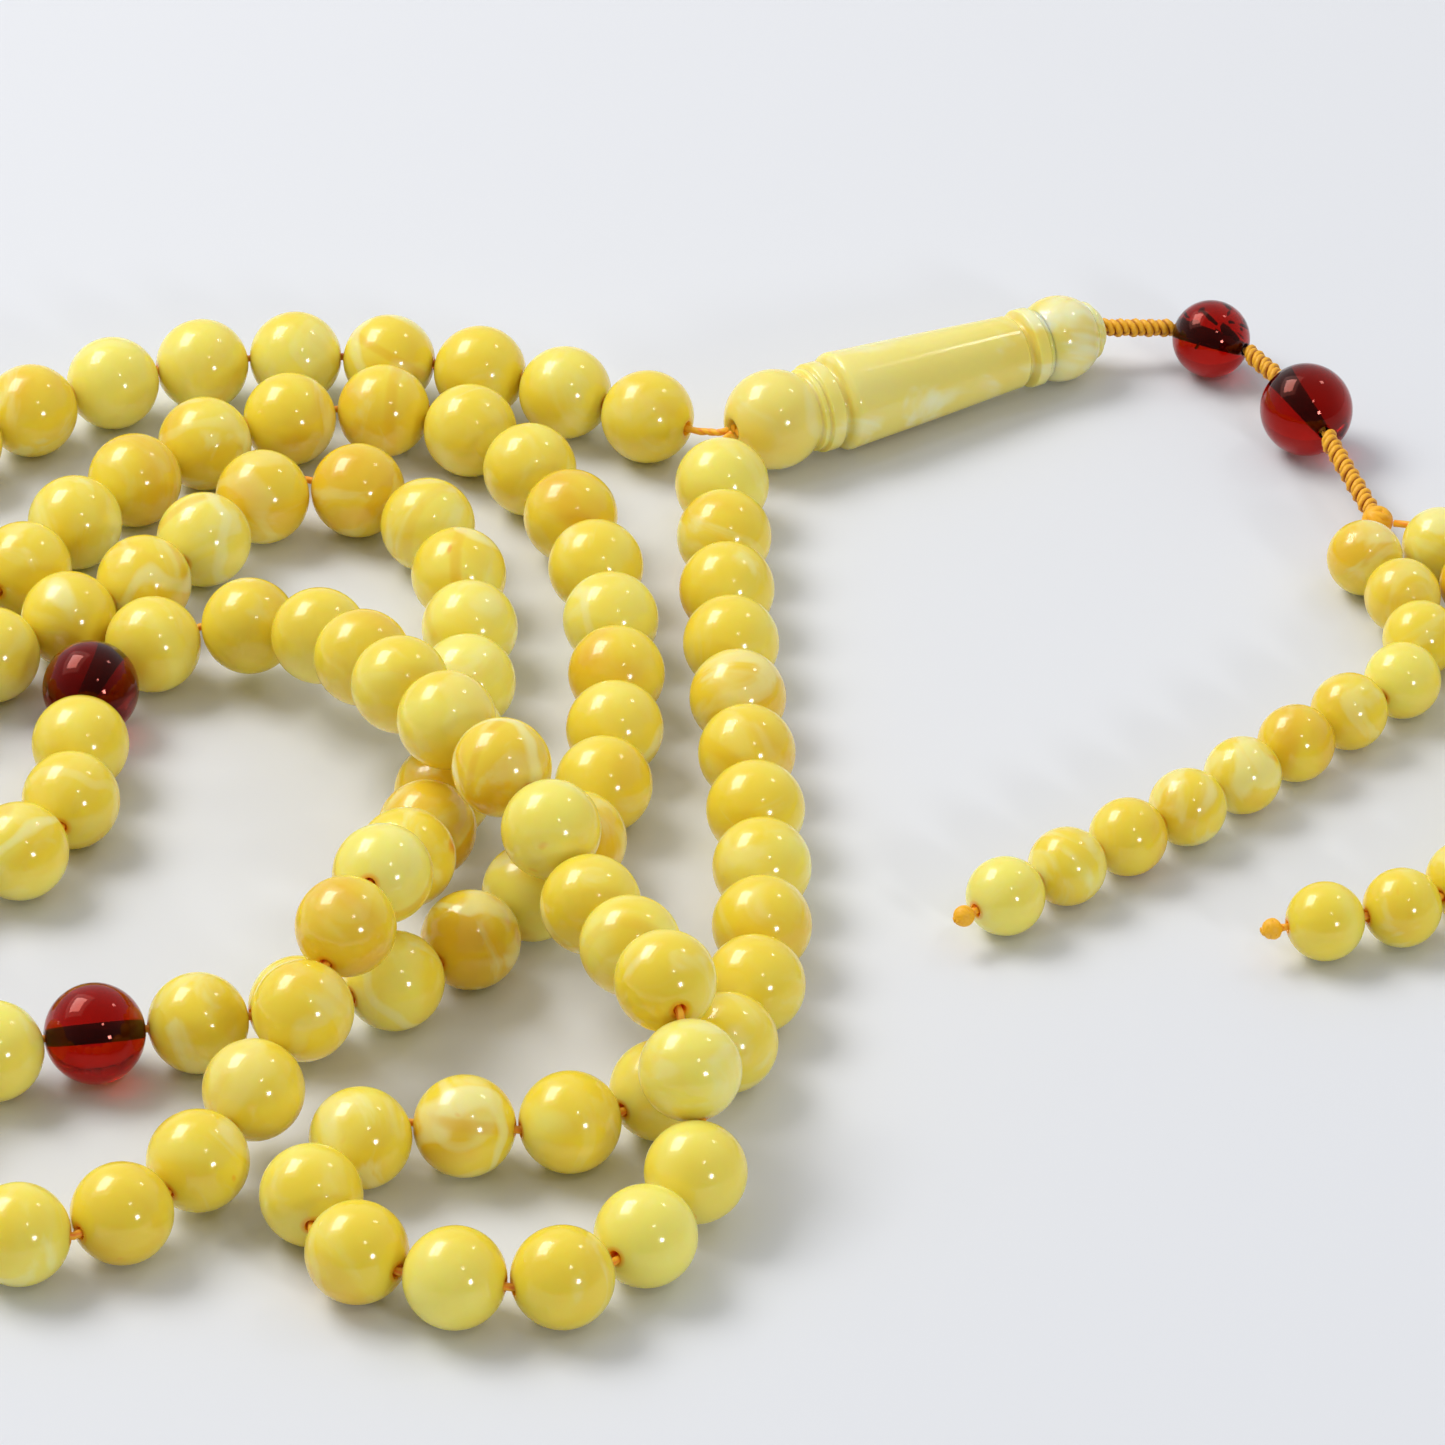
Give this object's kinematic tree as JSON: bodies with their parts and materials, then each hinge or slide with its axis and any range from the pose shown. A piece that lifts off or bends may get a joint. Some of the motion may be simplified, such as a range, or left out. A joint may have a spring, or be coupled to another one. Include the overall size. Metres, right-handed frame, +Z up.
{
  "type": "prayer beads",
  "caption": "Misbaha: round amber beads on a closed cord with red divider beads, a turned imam piece, and a knotted tail that ends in strands of small beads.",
  "frame": {"origin": "middle of the bounding box, on the surface that the beads lie on", "axes": "+X towards the tail's side, along the longer side of the lay; +Y from the free bights towards the imam; +Z up"},
  "size_m": [0.1855, 0.178, 0.0215],
  "materials": {
    "yellow_amber": "polished, slightly translucent, with milky clouds",
    "imam_amber": "polished, milky, with pale patches",
    "red_amber": "polished and clear, so that the drilled hole shows",
    "cord": "twisted silk-like thread",
    "knotted_cord": "tight snake knots"
  },
  "bodies": {
    "loop": {"main_cord": "cord", "counting_beads_21_33": "yellow_amber", "counting_beads_34_66": "yellow_amber", "counting_beads_67_99": "yellow_amber"},
    "counting_bead_01": {"counting_bead_01": "yellow_amber"},
    "counting_bead_02": {"counting_bead_02": "yellow_amber"},
    "counting_bead_03": {"counting_bead_03": "yellow_amber"},
    "counting_bead_04": {"counting_bead_04": "yellow_amber"},
    "counting_bead_05": {"counting_bead_05": "yellow_amber"},
    "counting_bead_06": {"counting_bead_06": "yellow_amber"},
    "counting_bead_07": {"counting_bead_07": "yellow_amber"},
    "counting_bead_08": {"counting_bead_08": "yellow_amber"},
    "counting_bead_09": {"counting_bead_09": "yellow_amber"},
    "counting_bead_10": {"counting_bead_10": "yellow_amber"},
    "counting_bead_11": {"counting_bead_11": "yellow_amber"},
    "counting_bead_12": {"counting_bead_12": "yellow_amber"},
    "counting_bead_13": {"counting_bead_13": "yellow_amber"},
    "counting_bead_14": {"counting_bead_14": "yellow_amber"},
    "counting_bead_15": {"counting_bead_15": "yellow_amber"},
    "counting_bead_16": {"counting_bead_16": "yellow_amber"},
    "counting_bead_17": {"counting_bead_17": "yellow_amber"},
    "counting_bead_18": {"counting_bead_18": "yellow_amber"},
    "counting_bead_19": {"counting_bead_19": "yellow_amber"},
    "counting_bead_20": {"counting_bead_20": "yellow_amber"},
    "divider_bead_1": {"divider_bead_1": "red_amber"},
    "divider_bead_2": {"divider_bead_2": "red_amber"},
    "imam_swivel": {"imam_cord": "cord"},
    "imam": {"imam": "imam_amber"},
    "tail_1": {"tail_braid_1": "knotted_cord"},
    "tail_bead_1": {"tail_bead_1": "red_amber"},
    "tail_2": {"tail_braid_2": "knotted_cord"},
    "tail_bead_2": {"tail_bead_2": "red_amber"},
    "tail_3": {"tail_braid_3": "knotted_cord", "split_knot": "knotted_cord"},
    "strand_a": {"tassel_cord_a": "cord", "end_knot_a": "knotted_cord"},
    "strand_b": {"tassel_cord_b": "cord", "end_knot_b": "knotted_cord"},
    "tassel_bead_a01": {"tassel_bead_a01": "yellow_amber"},
    "tassel_bead_a02": {"tassel_bead_a02": "yellow_amber"},
    "tassel_bead_a03": {"tassel_bead_a03": "yellow_amber"},
    "tassel_bead_a04": {"tassel_bead_a04": "yellow_amber"},
    "tassel_bead_a05": {"tassel_bead_a05": "yellow_amber"},
    "tassel_bead_a06": {"tassel_bead_a06": "yellow_amber"},
    "tassel_bead_a07": {"tassel_bead_a07": "yellow_amber"},
    "tassel_bead_a08": {"tassel_bead_a08": "yellow_amber"},
    "tassel_bead_a09": {"tassel_bead_a09": "yellow_amber"},
    "tassel_bead_a10": {"tassel_bead_a10": "yellow_amber"},
    "tassel_bead_a11": {"tassel_bead_a11": "yellow_amber"},
    "tassel_bead_b01": {"tassel_bead_b01": "yellow_amber"},
    "tassel_bead_b02": {"tassel_bead_b02": "yellow_amber"},
    "tassel_bead_b03": {"tassel_bead_b03": "yellow_amber"},
    "tassel_bead_b04": {"tassel_bead_b04": "yellow_amber"},
    "tassel_bead_b05": {"tassel_bead_b05": "yellow_amber"},
    "tassel_bead_b06": {"tassel_bead_b06": "yellow_amber"},
    "tassel_bead_b07": {"tassel_bead_b07": "yellow_amber"},
    "tassel_bead_b08": {"tassel_bead_b08": "yellow_amber"},
    "tassel_bead_b09": {"tassel_bead_b09": "yellow_amber"},
    "tassel_bead_b10": {"tassel_bead_b10": "yellow_amber"},
    "tassel_bead_b11": {"tassel_bead_b11": "yellow_amber"}
  },
  "joints": [
    {"name": "counting_bead_01_slide", "type": "slide", "parent": "loop", "child": "counting_bead_01", "axis": [0.8728, -0.488, 0], "range_m": [0, 0.002]},
    {"name": "counting_bead_02_slide", "type": "slide", "parent": "loop", "child": "counting_bead_02", "axis": [0.8785, -0.4778, 0], "range_m": [0, 0.002]},
    {"name": "counting_bead_03_slide", "type": "slide", "parent": "loop", "child": "counting_bead_03", "axis": [0.9432, -0.3322, 0], "range_m": [0, 0.002]},
    {"name": "counting_bead_04_spin", "type": "hinge", "parent": "loop", "child": "counting_bead_04", "pos_m": [-0.03071, 0.07912, 0.005], "axis": [-0.9899, 0.1415, 0], "continuous": true},
    {"name": "counting_bead_05_spin", "type": "hinge", "parent": "loop", "child": "counting_bead_05", "pos_m": [-0.04081, 0.07969, 0.005], "axis": [-0.9993, -0.0387, 0], "continuous": true},
    {"name": "counting_bead_06_spin", "type": "hinge", "parent": "loop", "child": "counting_bead_06", "pos_m": [-0.05082, 0.07816, 0.005], "axis": [-0.9674, -0.2533, 0], "continuous": true},
    {"name": "counting_bead_07_spin", "type": "hinge", "parent": "loop", "child": "counting_bead_07", "pos_m": [-0.06026, 0.07451, 0.005], "axis": [-0.8814, -0.4724, 0], "continuous": true},
    {"name": "counting_bead_08_spin", "type": "hinge", "parent": "loop", "child": "counting_bead_08", "pos_m": [-0.06871, 0.06894, 0.005], "axis": [-0.7901, -0.6129, 0], "continuous": true},
    {"name": "counting_bead_09_spin", "type": "hinge", "parent": "loop", "child": "counting_bead_09", "pos_m": [-0.07635, 0.06231, 0.005], "axis": [-0.7046, -0.7096, 0], "continuous": true},
    {"name": "counting_bead_10_spin", "type": "hinge", "parent": "loop", "child": "counting_bead_10", "pos_m": [-0.08293, 0.05463, 0.005], "axis": [-0.6144, -0.789, 0], "continuous": true},
    {"name": "counting_bead_11_spin", "type": "hinge", "parent": "loop", "child": "counting_bead_11", "pos_m": [-0.08747, 0.04558, 0.005], "axis": [-0.2233, -0.9747, 0], "continuous": true},
    {"name": "counting_bead_12_spin", "type": "hinge", "parent": "loop", "child": "counting_bead_12", "pos_m": [-0.08524, 0.03571, 0.005], "axis": [0.6387, -0.7695, 0], "continuous": true},
    {"name": "counting_bead_13_spin", "type": "hinge", "parent": "loop", "child": "counting_bead_13", "pos_m": [-0.07575, 0.03219, 0.005], "axis": [0.9846, 0.1746, 0], "continuous": true},
    {"name": "counting_bead_14_spin", "type": "hinge", "parent": "loop", "child": "counting_bead_14", "pos_m": [-0.06751, 0.03806, 0.005], "axis": [0.5193, 0.8546, 0], "continuous": true},
    {"name": "counting_bead_15_spin", "type": "hinge", "parent": "loop", "child": "counting_bead_15", "pos_m": [-0.06274, 0.04698, 0.005], "axis": [0.4613, 0.8873, 0], "continuous": true},
    {"name": "counting_bead_16_spin", "type": "hinge", "parent": "loop", "child": "counting_bead_16", "pos_m": [-0.05686, 0.05522, 0.005], "axis": [0.647, 0.7625, 0], "continuous": true},
    {"name": "counting_bead_17_spin", "type": "hinge", "parent": "loop", "child": "counting_bead_17", "pos_m": [-0.04977, 0.06244, 0.005], "axis": [0.7821, 0.6232, 0], "continuous": true},
    {"name": "counting_bead_18_spin", "type": "hinge", "parent": "loop", "child": "counting_bead_18", "pos_m": [-0.04089, 0.06729, 0.005], "axis": [0.9339, 0.3574, 0], "continuous": true},
    {"name": "counting_bead_19_spin", "type": "hinge", "parent": "loop", "child": "counting_bead_19", "pos_m": [-0.03089, 0.06889, 0.005], "axis": [0.9963, -0.0862, 0], "continuous": true},
    {"name": "counting_bead_20_spin", "type": "hinge", "parent": "loop", "child": "counting_bead_20", "pos_m": [-0.02157, 0.06494, 0.005], "axis": [0.7641, -0.6452, 0], "continuous": true},
    {"name": "divider_bead_1_spin", "type": "hinge", "parent": "loop", "child": "divider_bead_1", "pos_m": [-0.05595, -0.04475, 0.005], "axis": [-0.9859, -0.1671, 0], "continuous": true},
    {"name": "divider_bead_2_spin", "type": "hinge", "parent": "loop", "child": "divider_bead_2", "pos_m": [-0.0593, 0.01589, 0.005], "axis": [0.2508, 0.9677, -0.0269], "continuous": true},
    {"name": "imam_swing", "type": "hinge", "parent": "loop", "child": "imam_swivel", "pos_m": [0.00603, 0.06354, 0.00575], "axis": [0, 0, 1], "range_deg": [-3, 12]},
    {"name": "imam_spin", "type": "hinge", "parent": "imam_swivel", "child": "imam", "pos_m": [0.00603, 0.06354, 0.00575], "axis": [0.8657, 0.4998, -0.0253], "continuous": true},
    {"name": "tail_swing_1", "type": "hinge", "parent": "imam_swivel", "child": "tail_1", "pos_m": [0.04585, 0.08653, 0.00459], "axis": [0, 0, 1], "range_deg": [0, 18]},
    {"name": "tail_bead_1_spin", "type": "hinge", "parent": "tail_1", "child": "tail_bead_1", "pos_m": [0.05814, 0.08474, 0.00425], "axis": [0.848, -0.5299, 0], "continuous": true},
    {"name": "tail_swing_2", "type": "hinge", "parent": "tail_1", "child": "tail_2", "pos_m": [0.06174, 0.08248, 0.00425], "axis": [0, 0, 1], "range_deg": [0, 18]},
    {"name": "tail_bead_2_spin", "type": "hinge", "parent": "tail_2", "child": "tail_bead_2", "pos_m": [0.06765, 0.06918, 0.005], "axis": [0.342, -0.9397, 0], "continuous": true},
    {"name": "tail_swing_3", "type": "hinge", "parent": "tail_2", "child": "tail_3", "pos_m": [0.06936, 0.06448, 0.005], "axis": [0, 0, 1], "range_deg": [0, 18]},
    {"name": "strand_a_swing", "type": "hinge", "parent": "tail_3", "child": "strand_a", "pos_m": [0.0742, 0.04958, 0.0034], "axis": [0, 0, 1], "range_deg": [0, 15]},
    {"name": "strand_b_swing", "type": "hinge", "parent": "tail_3", "child": "strand_b", "pos_m": [0.0742, 0.04958, 0.0034], "axis": [0, 0, 1], "range_deg": [-6, 0]},
    {"name": "tassel_bead_a01_spin", "type": "hinge", "parent": "strand_a", "child": "tassel_bead_a01", "pos_m": [0.08043, 0.04414, 0.004], "axis": [0.4445, -0.8958, 0], "continuous": true},
    {"name": "tassel_bead_a02_spin", "type": "hinge", "parent": "strand_a", "child": "tassel_bead_a02", "pos_m": [0.08392, 0.03681, 0.004], "axis": [0.411, -0.9116, 0], "continuous": true},
    {"name": "tassel_bead_a03_spin", "type": "hinge", "parent": "strand_a", "child": "tassel_bead_a03", "pos_m": [0.08665, 0.02916, 0.004], "axis": [0.2591, -0.9659, 0], "continuous": true},
    {"name": "tassel_bead_a04_spin", "type": "hinge", "parent": "strand_a", "child": "tassel_bead_a04", "pos_m": [0.08819, 0.02119, 0.004], "axis": [0.123, -0.9924, 0], "continuous": true},
    {"name": "tassel_bead_a05_spin", "type": "hinge", "parent": "strand_a", "child": "tassel_bead_a05", "pos_m": [0.08876, 0.01309, 0.004], "axis": [0.0131, -0.9999, 0], "continuous": true},
    {"name": "tassel_bead_a06_spin", "type": "hinge", "parent": "strand_a", "child": "tassel_bead_a06", "pos_m": [0.08832, 0.00498, 0.004], "axis": [-0.1209, -0.9927, 0], "continuous": true},
    {"name": "tassel_bead_a07_spin", "type": "hinge", "parent": "strand_a", "child": "tassel_bead_a07", "pos_m": [0.08678, -0.00299, 0.004], "axis": [-0.2541, -0.9672, 0], "continuous": true},
    {"name": "tassel_bead_a08_spin", "type": "hinge", "parent": "strand_a", "child": "tassel_bead_a08", "pos_m": [0.08391, -0.01059, 0.004], "axis": [-0.4563, -0.8898, 0], "continuous": true},
    {"name": "tassel_bead_a09_spin", "type": "hinge", "parent": "strand_a", "child": "tassel_bead_a09", "pos_m": [0.07919, -0.0172, 0.004], "axis": [-0.6796, -0.7336, 0], "continuous": true},
    {"name": "tassel_bead_a10_spin", "type": "hinge", "parent": "strand_a", "child": "tassel_bead_a10", "pos_m": [0.07266, -0.02202, 0.004], "axis": [-0.9182, -0.3961, 0], "continuous": true},
    {"name": "tassel_bead_a11_spin", "type": "hinge", "parent": "strand_a", "child": "tassel_bead_a11", "pos_m": [0.06489, -0.02438, 0.004], "axis": [-0.9744, -0.2248, 0], "continuous": true},
    {"name": "tassel_bead_b01_spin", "type": "hinge", "parent": "strand_b", "child": "tassel_bead_b01", "pos_m": [0.07243, 0.04164, 0.004], "axis": [0.4697, -0.8828, 0], "continuous": true},
    {"name": "tassel_bead_b02_spin", "type": "hinge", "parent": "strand_b", "child": "tassel_bead_b02", "pos_m": [0.07595, 0.03432, 0.004], "axis": [0.3766, -0.9264, 0], "continuous": true},
    {"name": "tassel_bead_b03_spin", "type": "hinge", "parent": "strand_b", "child": "tassel_bead_b03", "pos_m": [0.07738, 0.02633, 0.004], "axis": [-0.0077, -1, 0], "continuous": true},
    {"name": "tassel_bead_b04_spin", "type": "hinge", "parent": "strand_b", "child": "tassel_bead_b04", "pos_m": [0.07503, 0.01855, 0.004], "axis": [-0.5954, -0.8034, 0], "continuous": true},
    {"name": "tassel_bead_b05_spin", "type": "hinge", "parent": "strand_b", "child": "tassel_bead_b05", "pos_m": [0.06925, 0.01285, 0.004], "axis": [-0.7672, -0.6414, 0], "continuous": true},
    {"name": "tassel_bead_b06_spin", "type": "hinge", "parent": "strand_b", "child": "tassel_bead_b06", "pos_m": [0.06355, 0.00707, 0.004], "axis": [-0.6751, -0.7377, 0], "continuous": true},
    {"name": "tassel_bead_b07_spin", "type": "hinge", "parent": "strand_b", "child": "tassel_bead_b07", "pos_m": [0.05785, 0.00128, 0.004], "axis": [-0.7019, -0.7122, 0], "continuous": true},
    {"name": "tassel_bead_b08_spin", "type": "hinge", "parent": "strand_b", "child": "tassel_bead_b08", "pos_m": [0.05206, -0.00441, 0.004], "axis": [-0.7373, -0.6756, 0], "continuous": true},
    {"name": "tassel_bead_b09_spin", "type": "hinge", "parent": "strand_b", "child": "tassel_bead_b09", "pos_m": [0.04588, -0.00967, 0.004], "axis": [-0.7771, -0.6293, 0], "continuous": true},
    {"name": "tassel_bead_b10_spin", "type": "hinge", "parent": "strand_b", "child": "tassel_bead_b10", "pos_m": [0.03962, -0.01484, 0.004], "axis": [-0.7696, -0.6386, 0], "continuous": true},
    {"name": "tassel_bead_b11_spin", "type": "hinge", "parent": "strand_b", "child": "tassel_bead_b11", "pos_m": [0.03335, -0.02001, 0.004], "axis": [-0.7715, -0.6362, 0], "continuous": true}
  ],
  "couplings": [
    {"joint": "counting_bead_02_slide", "follows": "counting_bead_01_slide", "ratio": 1},
    {"joint": "counting_bead_03_slide", "follows": "counting_bead_01_slide", "ratio": 1}
  ]
}
